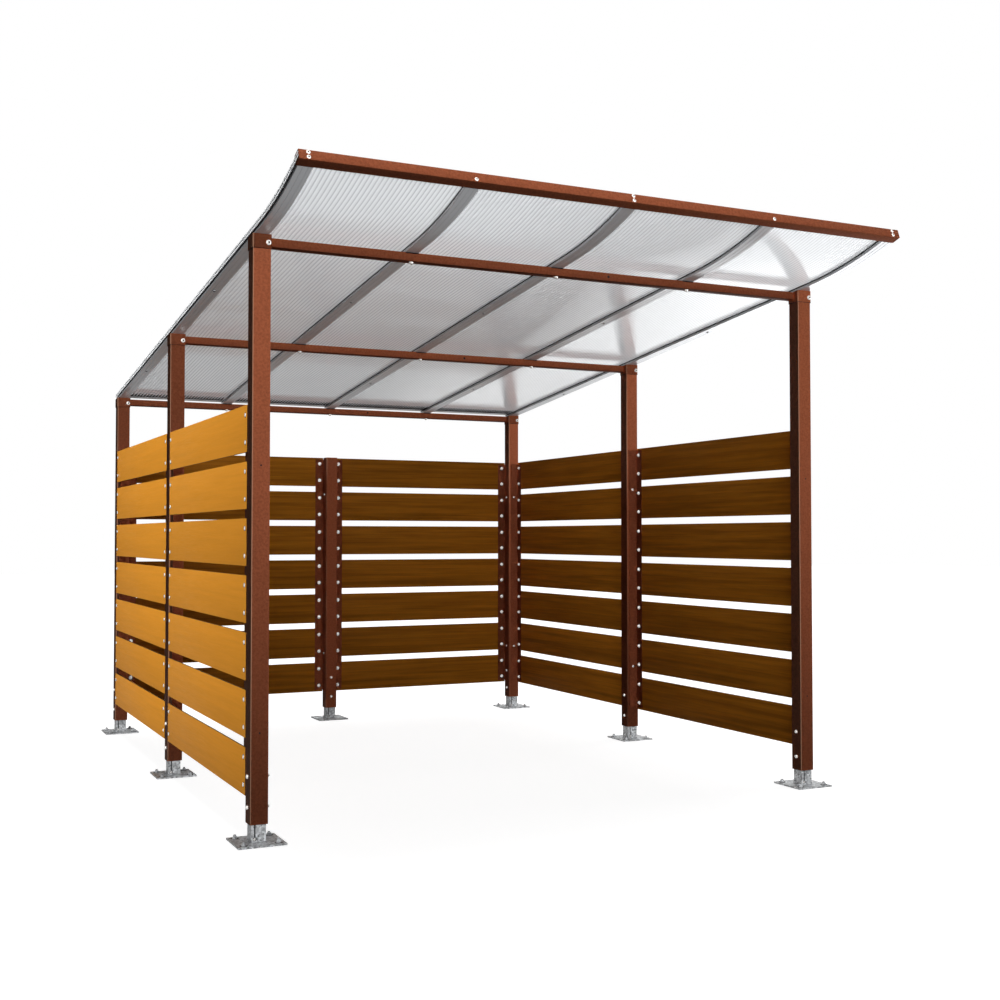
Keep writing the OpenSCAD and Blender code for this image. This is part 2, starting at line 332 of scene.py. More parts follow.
def sweep(bm, roof, x, outline, material=0, way=1, ribs=None):
    """Sweeps a closed outline in millimetres down the roof and along the visor; way -1 mirrors it about x."""
    before = set(bm.faces)
    verts = [bm.verts.new(Vector((x + way * a * MM, 0, 0)) + roof.back + roof.up * (h * MM)) for a, h in outline]
    first = [bm.edges.new((verts[i - 1], verts[i])) for i in range(len(verts))]
    if ribs:
        first = ribs(bm, roof, first)
    made = bmesh.ops.extrude_edge_only(bm, edges=first)["geom"]
    verts = [g for g in made if isinstance(g, bmesh.types.BMVert)]
    edges = [g for g in made if isinstance(g, bmesh.types.BMEdge)]
    bmesh.ops.translate(bm, vec=roof.along * roof.run, verts=verts)
    made = bmesh.ops.spin(
        bm, geom=verts + edges, cent=roof.centre, axis=(-1, 0, 0), dvec=(0, 0, 0), angle=roof.sweep,
        steps=roof.steps, use_merge=False, use_duplicate=False,
    )["geom_last"]
    last = [g for g in made if isinstance(g, bmesh.types.BMEdge)]
    for loop in (first, last):
        bmesh.ops.contextual_create(bm, geom=loop)
    paint_new(bm, before, material)


def strip(x0, x1, h0, h1, edge=0.4):
    """A flat strip's outline with its corners taken off."""
    return [
        (x0 + edge, h0), (x1 - edge, h0), (x1, h0 + edge), (x1, h1 - edge),
        (x1 - edge, h1), (x0 + edge, h1), (x0, h1 - edge), (x0, h0 + edge),
    ]


# ---- finishes ----


def feed(node, inputs):
    """Feeds a node's inputs, by name or in order, with values, sockets or other nodes' first live outputs."""
    for key, value in inputs.items() if isinstance(inputs, dict) else enumerate(inputs):
        if isinstance(value, bpy.types.Node):
            value = next(socket for socket in value.outputs if socket.enabled)
        if isinstance(value, bpy.types.NodeSocket):
            node.id_data.links.new(value, node.inputs[key])
        else:
            node.inputs[key].default_value = value


def empty_tree(owner):
    """The emptied node tree of a material or a world."""
    owner.use_nodes = True
    owner.node_tree.nodes.clear()
    return owner.node_tree


def add(tree, kind, inputs=(), **settings):
    """Adds a node, sets it up and feeds it."""
    node = tree.nodes.new(f"ShaderNode{kind}")
    for key, value in settings.items():
        setattr(node, key, value)
    feed(node, inputs)
    return node


def rgb(values, gain=1.0):
    """A colour socket's value."""
    return tuple(min(1.0, c * gain) for c in values) + (1.0,)


class Finish:
    """A new material with its surface shader, ready for textures on object coordinates."""

    def __init__(self, name, look):
        material = bpy.data.materials.get(name) or bpy.data.materials.new(name)
        material.diffuse_color = rgb(look)
        self.tree = empty_tree(material)
        self.place = self.add("TexCoord").outputs["Object"]
        self.skin = self.add("BsdfPrincipled", {"Base Color": rgb(look)})
        self.out = self.add("OutputMaterial", {"Surface": self.skin})

    def add(self, kind, inputs=(), **settings):
        return add(self.tree, kind, inputs, **settings)

    def set(self, inputs):
        """Constants and textures of the surface shader."""
        feed(self.skin, inputs)


def powder_coat(colours):
    # textured polyester coat: a low sheen over fine orange peel, with soft clouds of lighter and
    # darker brown about a fingertip across, which keep the long tubes from looking flat
    look = colours.coat
    coat = Finish("powder_coat", look)
    clouds = coat.add("TexNoise", {"Vector": coat.place, "Scale": 95.0, "Detail": 3.0, "Roughness": 0.6})
    grain = coat.add("TexNoise", {"Vector": coat.place, "Scale": 420.0, "Detail": 3.0, "Roughness": 0.7})
    patch = coat.add("MapRange", (clouds, 0.36, 0.64, 0.0, 1.0))
    tone = coat.add("Mix", {0: patch, 6: rgb(look, 0.82), 7: rgb(look, 1.18)}, data_type="RGBA")
    fleck = coat.add("MapRange", (grain, 0.4, 0.68, 0.0, 0.35))
    tone = coat.add("Mix", {0: fleck, 6: tone, 7: rgb(look, 1.5)}, data_type="RGBA")
    gloss = coat.add("MapRange", (clouds, 0.3, 0.7, 0.42, 0.54))
    relief = coat.add("Bump", {"Height": grain, "Distance": 0.00025, "Strength": 0.6})
    coat.set({"Base Color": tone, "Roughness": gloss, "Specular IOR Level": 0.025, "Normal": relief})


def galvanised(colours):
    # hot-dip zinc: crystal spangle of about a centimetre, each crystal with its own grey and gloss
    look = colours.zinc
    zinc = Finish("galvanised_steel", look)
    crystal = zinc.add("TexVoronoi", {"Vector": zinc.place, "Scale": 110.0})
    shade = zinc.add("SeparateColor", {"Color": crystal.outputs["Color"]})
    cloud = zinc.add("TexNoise", {"Vector": zinc.place, "Scale": 18.0, "Detail": 4.0, "Roughness": 0.55})
    tone = zinc.add("Mix", {0: shade, 6: rgb(look, 0.45), 7: rgb(look, 1.75)}, data_type="RGBA")
    dull = zinc.add("MapRange", (cloud, 0.45, 0.75, 0.0, 0.45))
    tone = zinc.add("Mix", {0: dull, 6: tone, 7: rgb(look, 0.65)}, data_type="RGBA")
    gloss = zinc.add("MapRange", (shade, 0.0, 1.0, 0.32, 0.5))
    relief = zinc.add("Bump", {"Height": shade, "Distance": 0.0002, "Strength": 0.4})
    zinc.set({"Base Color": tone, "Metallic": 0.65, "Roughness": gloss, "Normal": relief})


def stainless(colours):
    # pressed stainless fasteners: bright and satin, with faint tumbling marks
    look = colours.steel
    steel = Finish("stainless_bolts", look)
    marks = steel.add("TexNoise", {"Vector": steel.place, "Scale": 900.0, "Roughness": 0.55})
    tone = steel.add("Mix", {0: marks, 6: rgb(look, 0.85), 7: rgb(look, 1.1)}, data_type="RGBA")
    gloss = steel.add("MapRange", (marks, 0.3, 0.7, 0.16, 0.28))
    steel.set({"Base Color": tone, "Metallic": 0.5, "Roughness": gloss})


def aluminium(name, look, rough, metallic):
    # drawn aluminium: faint die lines along the section under a slightly uneven, oxidised sheen
    metal = Finish(name, look)
    drawn = metal.add("Mapping", {"Vector": metal.place, "Scale": (160.0, 1.5, 1.5)})
    lines = metal.add("TexNoise", {"Vector": drawn, "Scale": 1.0})
    cloud = metal.add("TexNoise", {"Vector": metal.place, "Scale": 6.0, "Detail": 3.0, "Roughness": 0.55})
    tone = metal.add("Mix", {0: lines, 6: rgb(look, 0.94), 7: rgb(look, 1.05)}, data_type="RGBA")
    dull = metal.add("MapRange", (cloud, 0.4, 0.7, 0.0, 0.3))
    tone = metal.add("Mix", {0: dull, 6: tone, 7: rgb(look, 0.9)}, data_type="RGBA")
    gloss = metal.add("MapRange", (cloud, 0.3, 0.7, rough, rough + 0.05))
    metal.set({"Base Color": tone, "Metallic": metallic, "Roughness": gloss})


# black gasket rubber with a grey bloom; the same black also paints shade: rims under heads, nuts and anchors, hole and
# socket floors, spigot slots and the strips under caps and rafters
def rubber_and_shade(colours):
    # black gasket rubber with a grey bloom
    look = colours.rubber_and_shade
    black_finish = Finish("black_rubber", look)
    bloom = black_finish.add("TexNoise", {"Vector": black_finish.place, "Scale": 160.0, "Detail": 4.0, "Roughness": 0.55})
    tone = black_finish.add("Mix", {0: bloom, 6: rgb(look, 0.7), 7: rgb(look, 2.2)}, data_type="RGBA")
    black_finish.set({"Base Color": tone, "Roughness": 0.6, "Specular IOR Level": 0.2})


def polycarbonate(colours, sizes):
    # ribbed twin-wall sheet: the walls inside show as fine lines from front to back, the skins shine,
    # and the daylight above comes through softly
    look = colours.sheet
    clear = Finish("polycarbonate", look)
    across = clear.add("SeparateXYZ", {"Vector": clear.place})
    turns = clear.add("Math", (across, 2 * math.pi / sizes.rib_pitch), operation="MULTIPLY")
    wave = clear.add("Math", (turns,), operation="COSINE")
    rib = clear.add("MapRange", (wave, 0.2, 0.95, 0.0, 1.0))
    haze = clear.add("TexNoise", {"Vector": clear.place, "Scale": 3.0, "Detail": 3.0, "Roughness": 0.55})
    veil = clear.add("MapRange", (haze, 0.35, 0.7, 0.0, 0.3))
    tone = clear.add("Mix", {0: rib, 6: rgb(look, 1.1), 7: rgb(look, 0.7)}, data_type="RGBA")
    tone = clear.add("Mix", {0: veil, 6: tone, 7: rgb(look, 0.9)}, data_type="RGBA")
    clear.set({"Base Color": tone, "Roughness": 0.05, "Transmission Weight": 0.55, "IOR": 1.5})
    clear.set({"Coat Weight": 1.0, "Coat Roughness": 0.03, "Coat IOR": 1.55})
    through = clear.add("BsdfTranslucent", {"Color": tone})
    feed(clear.out, {"Surface": clear.add("MixShader", (0.25, clear.skin, through))})


def laminate(name, look, along, contrast, sizes):
    # high-pressure laminate with a honey wood decor: long streaks along the board, fine pores between
    # them, and each board a little lighter or darker than its neighbour
    wood = Finish(name, look)
    streak_size = (1.0, 1.3, 42.0) if along == "Y" else (1.3, 1.0, 42.0)
    pore_size = (1.0, 7.0, 330.0) if along == "Y" else (7.0, 1.0, 330.0)
    first = (0.0, -middle("post_middle_left").y, -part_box("boards_left_front")[0].z)
    moved = wood.add("Mapping", {"Vector": wood.place, "Location": first})
    board = wood.add("VectorMath", (moved, (1.45, 1.8, sizes.board_pitch)), operation="SNAP")
    pick = wood.add("TexWhiteNoise", {"Vector": board}, noise_dimensions="3D").outputs
    spread = wood.add("VectorMath", {0: pick["Color"], "Scale": 9.0}, operation="SCALE")
    own = wood.add("VectorMath", (wood.place, spread), operation="ADD")
    streak = wood.add("TexNoise", {
        "Vector": wood.add("Mapping", {"Vector": own, "Scale": streak_size}),
        "Scale": 1.0, "Detail": 5.0, "Roughness": 0.6, "Distortion": 0.15,
    })
    pore = wood.add("TexNoise", {
        "Vector": wood.add("Mapping", {"Vector": own, "Scale": pore_size}),
        "Scale": 1.0, "Detail": 3.0, "Roughness": 0.6,
    })
    dark = wood.add("MapRange", (streak, 0.38, 0.66, 0.0, 1.0))
    light_tone, dark_tone = rgb(look, 1.0 + contrast * 0.35), rgb(look, 1.0 - contrast)
    tone = wood.add("Mix", {0: dark, 6: light_tone, 7: dark_tone}, data_type="RGBA")
    deep = wood.add("MapRange", (pore, 0.42, 0.7, 0.0, contrast))
    tone = wood.add("Mix", {0: deep, 6: tone, 7: rgb(look, 0.62)}, data_type="RGBA")
    shade = wood.add("MapRange", (pick["Value"], 0.0, 1.0, 0.93, 1.05))
    grey = wood.add("CombineXYZ", (shade, shade, shade))
    tone = wood.add("Mix", {0: 1.0, 6: tone, 7: grey}, data_type="RGBA", blend_type="MULTIPLY")
    gloss = wood.add("MapRange", (pore, 0.3, 0.7, 0.42, 0.55))
    relief = wood.add("Bump", {"Height": pore, "Distance": 0.0001, "Strength": 0.5})
    wood.set({"Base Color": tone, "Roughness": gloss, "Specular IOR Level": 0.04, "Normal": relief})


def laminate_core(colours):
    # cut edges show the pressed brown core with fine layers
    look = colours.core
    core = Finish("board_core", look)
    pressed = core.add("Mapping", {"Vector": core.place, "Scale": (700.0, 700.0, 60.0)})
    layer = core.add("TexNoise", {"Vector": pressed, "Scale": 1.0})
    tone = core.add("Mix", {0: layer, 6: rgb(look, 0.7), 7: rgb(look, 1.4)}, data_type="RGBA")
    core.set({"Base Color": tone, "Roughness": 0.6, "Specular IOR Level": 0.2})


class SHELTER_OT_finishes(bpy.types.Operator):
    """Make the shelter's finishes"""

    bl_idname = "shelter.finishes"
    bl_label = "Finishes"

    def execute(self, context):
        colours, sizes = context.scene.shelter_colours, context.scene.shelter_sizes
        powder_coat(colours)
        galvanised(colours)
        stainless(colours)
        aluminium("mill_aluminium", colours.aluminium, 0.3, 0.7)
        aluminium("satin_trim", colours.trim, 0.32, 0.4)
        rubber_and_shade(colours)
        polycarbonate(colours, sizes)
        for wall, along in (("side", "Y"), ("rear", "X")):
            laminate(f"laminate_{wall}_out", colours.board, along, 0.06, sizes)
            # inner faces: a darker copy of the decor as painted shade, with stronger grain
            laminate(f"laminate_{wall}_in", colours.board_inner_shaded, along, 0.34, sizes)
        laminate_core(colours)
        return {"FINISHED"}


# ---- pieces ----


class SHELTER_OT_posts(bpy.types.Operator):
    """Coat the posts, their caps and the fixing angles"""

    bl_idname = "shelter.posts"
    bl_label = "Posts, caps and angles"

    def execute(self, context):
        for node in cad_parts:
            if node.startswith(("post_", "caps_", "angles_")):
                dress(node, "powder_coat")
        return {"FINISHED"}


class SHELTER_OT_feet(bpy.types.Operator):
    """Galvanise the feet, and add their welds and anchor bolts"""

    bl_idname = "shelter.feet"
    bl_label = "Feet and anchors"

    def execute(self, context):
        sizes = context.scene.shelter_sizes
        half = sizes.anchor_pitch / 2
        r = sizes.anchor / 2 / MM
        bolt = template(
            # the wide black ring under each anchor is painted shadow around the bolt on the plate
            disc(r * 2.9, 0, 0.5, 16, 1),
            disc(r * 1.95, 0.5, 2.0, 16),
            ([(0, 2.0), (r * 1.6, 2.0), (r * 1.6, 9.5), (r * 1.35, 11.0), (0, 11.0)], 6, 0),
            ([(r, 10.0), (r, 15.5), (r * 0.8, 16.6), (0, 16.6)], 12, 0),
        )
        welds, anchors = bmesh.new(), bmesh.new()
        for name in POSTS:
            dress(f"foot_{name}", "galvanised_steel")
            at = ground(f"foot_{name}")
            for reach, high in ((36.5, 9.6), (34.6, 11.6), (32.9, 13.8)):
                low, high = Vector((-reach, -reach, 7.9)) * MM, Vector((reach, reach, high)) * MM
                block(welds, at + low, at + high, 0.8 * MM)
            if name == "rear_middle":
                continue
            for index, (sx, sy) in enumerate(((-1, -1), (1, -1), (-1, 1), (1, 1))):
                stamp(anchors, bolt, at + Vector((sx * half, sy * half, FOOT_TOP)), (0, 0, 1), 0.3 + index)
        finish_piece(welds, "foot_welds", ["galvanised_steel"])
        finish_piece(anchors, "anchor_bolts", ["galvanised_steel", "black_rubber"])
        return {"FINISHED"}


class SHELTER_OT_beams(bpy.types.Operator):
    """Make the cross beams and the visor rail as tubes with rounded edges"""

    bl_idname = "shelter.beams"
    bl_label = "Beams and visor rail"

    def execute(self, context):
        sizes = context.scene.shelter_sizes
        roof = RoofLine(sizes)
        for row in ROWS:
            low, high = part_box(f"beam_{row}")
            place = roof.sloped((0, *middle(f"beam_{row}").yz))
            bm = bmesh.new()
            corners = (low.x, -HALF_BEAM, -HALF_BEAM), (high.x, HALF_BEAM, HALF_BEAM)
            block(bm, *corners, sizes.tube_round, 3, 0, place=place)
            finish_piece(bm, f"cross_beam_{row}", ["powder_coat"], [f"beam_{row}"])
        low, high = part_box("visor_rail_plugs")
        place = roof.tip()
        front, top, inset = -sizes.rail_depth - RAIL_GAP, sizes.rail_height, 0.4 * MM
        bm = bmesh.new()
        block(bm, (low.x + 2.5 * MM, front, 0), (high.x - 2.5 * MM, -RAIL_GAP, top), 1.6 * MM, 3, 0, place=place)
        plug = 2.4 * MM
        for x0, x1 in ((low.x, low.x + plug), (high.x - plug, high.x)):
            block(bm, (x0, front + inset, inset), (x1, -RAIL_GAP - inset, top - inset), 0.8 * MM, 2, place=place)
        finish_piece(bm, "visor_rail_tube", ["powder_coat"], ["visor_rail", "visor_rail_plugs"])
        return {"FINISHED"}


class SHELTER_OT_rafters(bpy.types.Operator):
    """Sweep the rafters: body, web, crowned cover strip and rubber gaskets"""

    bl_idname = "shelter.rafters"
    bl_label = "Rafters"

    def execute(self, context):
        roof = RoofLine(context.scene.shelter_sizes)
        half = [
            (0, 0), (9.0, 0), (9.5, 0.9), (12.5, 0.9), (13.0, 0), (30.6, 0), (32.0, 1.2), (32.0, 12.0), (31.2, 12.8),
            (11.0, 12.8), (11.0, 35.1), (26.5, 35.1), (28.0, 35.6), (28.0, 36.4), (20.0, 37.8), (9.0, 38.5), (0, 38.6),
        ]
        body = half + [(-x, h) for x, h in reversed(half) if x > 0]
        for name in RAFTERS:
            x = middle(f"rafter_{name}").x
            bm = bmesh.new()
            sweep(bm, roof, x, body)
            for way in (-1, 1):
                sweep(bm, roof, x, strip(15.5, 31.6, 12.9, 18.2), 1, way)
                sweep(bm, roof, x, strip(15.5, 29.4, 34.35, 35.05, 0.2), 1, way)
            materials = ["mill_aluminium", "black_rubber"]
            finish_piece(bm, f"rafter_section_{name}", materials, [f"rafter_{name}"])
        return {"FINISHED"}


class SHELTER_OT_edge_trims(bpy.types.Operator):
    """Sweep the trims that close the outer sides of the edge rafters"""

    bl_idname = "shelter.edge_trims"
    bl_label = "Edge trims"

    def execute(self, context):
        roof = RoofLine(context.scene.shelter_sizes)
        shell = [
            (0.0, 14.6), (1.0, 13.4), (2.6, 13.4), (2.6, 18.4), (28.0, 18.4), (28.0, 20.6), (3.6, 20.6),
            (3.6, 23.6), (0.8, 23.6), (0.0, 22.8),
        ]
        gasket = [(1.6, 23.7), (8.0, 23.7), (8.0, 27.3), (1.6, 27.3)]
        cover = [
            (0.0, 28.2), (0.8, 27.4), (3.6, 27.4), (3.6, 31.6), (28.0, 31.6), (28.0, 34.2), (11.6, 34.2),
            (11.0, 36.6), (9.0, 37.6), (2.4, 36.8), (0.0, 35.0),
        ]
        tip = roof.tip()
        for side, s in SIDES.items():
            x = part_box(f"edge_trim_{side}")[0 if s < 0 else 1].x
            bm = bmesh.new()
            for outline, material in ((shell, 0), (gasket, 1), (cover, 0)):
                sweep(bm, roof, x, outline, material, -s)
            for h0, h1, depth, material in ((13.4, 23.6, 0.0, 0), (23.7, 27.3, 1.6, 1), (27.4, 36.0, 0.0, 0)):
                x0, x1 = sorted((x - s * depth * MM, x - s * 7.0 * MM))
                block(bm, (x0, -49.5 * MM, h0 * MM), (x1, -0.1 * MM, h1 * MM), 0.5 * MM, 1, None, material, tip)
            materials = ["satin_trim", "black_rubber"]
            finish_piece(bm, f"edge_profile_{side}", materials, [f"edge_trim_{side}"])
        return {"FINISHED"}


class SHELTER_OT_roof_sheets(bpy.types.Operator):
    """Sweep the ribbed roof sheets, and close their back ends with channels"""

    bl_idname = "shelter.roof_sheets"
    bl_label = "Roof sheets"

    def execute(self, context):
        sizes = context.scene.shelter_sizes
        roof = RoofLine(sizes)

        def ribbed(bm, roof, edges):
            """Cuts the skins' edges finely and lets them swell between the ribs."""
            skins = [e for e in edges if abs(e.verts[0].co.x - e.verts[1].co.x) > 0.1]
            cuts = round(skins[0].calc_length() / sizes.rib_pitch * 8)
            bmesh.ops.subdivide_edges(bm, edges=skins, cuts=cuts)
            mid = sum(v.co.dot(roof.up) for v in bm.verts) / len(bm.verts)
            for vert in bm.verts:
                swell = (1 - math.cos(2 * math.pi * vert.co.x / sizes.rib_pitch)) / 2 * sizes.rib_depth
                vert.co -= roof.up * math.copysign(sizes.rib_depth - swell, vert.co.dot(roof.up) - mid)
            return list(bm.edges)

        for name in SHEETS:
            low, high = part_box(f"roof_sheet_{name}")
            reach = (high.x - low.x) / 2 / MM
            outline = [(-reach, 18.3), (reach, 18.3), (reach, 34.3), (-reach, 34.3)]
            bm = bmesh.new()
            sweep(bm, roof, (low.x + high.x) / 2, outline, ribs=ribbed)
            finish_piece(bm, f"ribbed_sheet_{name}", ["polycarbonate"], [f"roof_sheet_{name}"], 60)
        bm = bmesh.new()
        place = roof.sloped(roof.back)
        for x0, x1 in rafter_gaps(33 * MM):
            for y0, y1, z0, z1 in ((0.2, 1.6, 16.8, 35.8), (-24.0, 0.2, 16.8, 18.0), (-24.0, 0.2, 34.6, 35.8)):
                block(bm, (x0, y0 * MM, z0 * MM), (x1, y1 * MM, z1 * MM), 0.3 * MM, place=place)
        finish_piece(bm, "sheet_end_channels", ["satin_trim"])
        return {"FINISHED"}


class SHELTER_OT_shade_strips(bpy.types.Operator):
    """Add black strips of painted shade under the caps and under the rafters, and black comb teeth of painted
    reflection at the sheets' back
    """

    bl_idname = "shelter.seals"
    # the seals of this label are black strips of painted shade, and its comb strips are painted reflection
    bl_label = "Seals and comb strips"

    def execute(self, context):
        sizes = context.scene.shelter_sizes
        roof = RoofLine(sizes)
        bm = bmesh.new()
        # black rings just under the caps: painted shade where each cap's lower edge shadows its post
        shade_ring, thick = 41.2, 0.6
        shadow_strip = Vector((32, 0.8, 2.4)) * MM
        for row in ROWS:
            level = Vector((0, 0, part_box(f"caps_{row}")[0].z - 1.2 * MM))
            for side in SIDES:
                for sx, sy in ((-1, 0), (1, 0), (0, -1), (0, 1)):
                    mid = ground(f"post_{row}_{side}") + level + Vector((sx, sy, 0)) * (shade_ring - thick) * MM
                    half = Vector((thick if sx else shade_ring, thick if sy else shade_ring, 1.1)) * MM
                    block(bm, mid - half, mid + half, 0.2 * MM)
            # black strips at the top of the beams' front faces under the middle rafters: painted shadow where each
            # rafter meets the beam
            beam = middle(f"beam_{row}")
            for name in RAFTERS[1:-1]:
                at = Vector((middle(f"rafter_{name}").x, *beam.yz))
                at += roof.along * (HALF_BEAM + shadow_strip.y) + roof.up * 17.2 * MM
                block(bm, -shadow_strip, shadow_strip, 0.3 * MM, place=roof.sloped(at))
        finish_piece(bm, "cap_and_rafter_shade_strips", ["black_rubber"])

        # black comb teeth under the sheets' back ends: painted reflection, standing in for the dark saw-tooth that the
        # ribbed skins mirror there
        bm = bmesh.new()
        root = middle("beam_rear").y - HALF_BEAM - 14 * MM
        for x0, x1 in rafter_gaps(34 * MM):
            teeth = int((x1 - x0) / sizes.rib_pitch)
            for index in range(teeth):
                x = (x0 + x1) / 2 + (index + 0.5 - teeth / 2) * sizes.rib_pitch
                verts = block(bm, Vector((-9.4, -115, 15.6)) * MM, Vector((9.2, 0, 17.4)) * MM)
                for vert in verts:
                    if vert.co.y < -10 * MM:
                        vert.co.x *= 0.12
                bmesh.ops.transform(bm, matrix=roof.sloped(roof.straight(x, root)), verts=verts)
        finish_piece(bm, "comb_reflection_teeth", ["black_rubber"])
        return {"FINISHED"}


class SHELTER_OT_boards(bpy.types.Operator):
    """Make the boards of the six bays, with decor faces and a dark core at their edges"""

    bl_idname = "shelter.boards"
    bl_label = "Boards"

    def execute(self, context):
        sizes = context.scene.shelter_sizes
        outward = {"left": Vector((-1, 0, 0)), "right": Vector((1, 0, 0)), "rear": Vector((0, 1, 0))}
        for bay in ("left_front", "left_rear", "right_front", "right_rear", "rear_left", "rear_right"):
            wall = bay.split("_")[0]
            low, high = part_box(f"boards_{bay}")
            bm = bmesh.new()
            for z in board_feet(f"boards_{bay}", sizes):
                block(bm, (low.x, low.y, z), (high.x, high.y, z + sizes.board_height), sizes.board_edge, 2)
            bm.normal_update()
            # outer faces get the decor, inner faces its darker painted-shade copy, cut edges the core
            for face in bm.faces:
                side = face.normal.dot(outward[wall])
                face.material_index = 0 if side > 0.9 else 1 if side < -0.9 else 2
            kind = "rear" if wall == "rear" else "side"
            faces = [f"laminate_{kind}_out", f"laminate_{kind}_in", "board_core"]
            finish_piece(bm, f"wall_boards_{bay}", faces, [f"boards_{bay}"])
        return {"FINISHED"}


class SHELTER_OT_board_bolts(bpy.types.Operator):
    """Bolt the boards: button heads outside, washers and dome nuts on the angles inside"""

    bl_idname = "shelter.board_bolts"
    bl_label = "Board bolts"

    def execute(self, context):
        sizes = context.scene.shelter_sizes
        r, w = sizes.board_bolt / 2 / MM, sizes.board_nut / 2 / MM
        head = template(
            # a black rim under each button head: painted shadow round the head
            disc(r * 1.22, 0, 0.6, 12, 1),
            ([(0, 0.6), (r, 0.6), (r, 1.6), (r * 0.72, 3.8), (0, 4.8)], 12, 0),
        )
        nut = template(
            # a black rim under each washer: painted shadow round the nut
            disc(w * 1.15, 0, 0.6, 12, 1),
            disc(w, 0.6, 1.6, 12),
            ([(w * 0.84, 1.6), (w * 0.84, 5.6), (w * 0.66, 6.6)], 6, 0),
            ([(w * 0.66, 6.4), (w * 0.55, 9.6), (0, 11.6)], 10, 0),
        )
        through = 11.3 * MM
        heads, nuts = bmesh.new(), bmesh.new()
        for post, along, outward in bay_ends():
            at = ground(post) + along * (HALF_POST + sizes.board_bolt_in) + outward * HALF_POST
            for index, foot in enumerate(board_feet("boards_left_front", sizes)):
                for z in (foot + sizes.board_bolt_edge, foot + sizes.board_height - sizes.board_bolt_edge):
                    spot = at + Vector((0, 0, z))
                    stamp(heads, head, spot, outward)
                    stamp(nuts, nut, spot - outward * through, -outward, index * 0.7)
        finish_piece(heads, "board_bolt_heads", ["stainless_bolts", "black_rubber"])
        finish_piece(nuts, "board_dome_nuts", ["stainless_bolts", "black_rubber"])
        return {"FINISHED"}


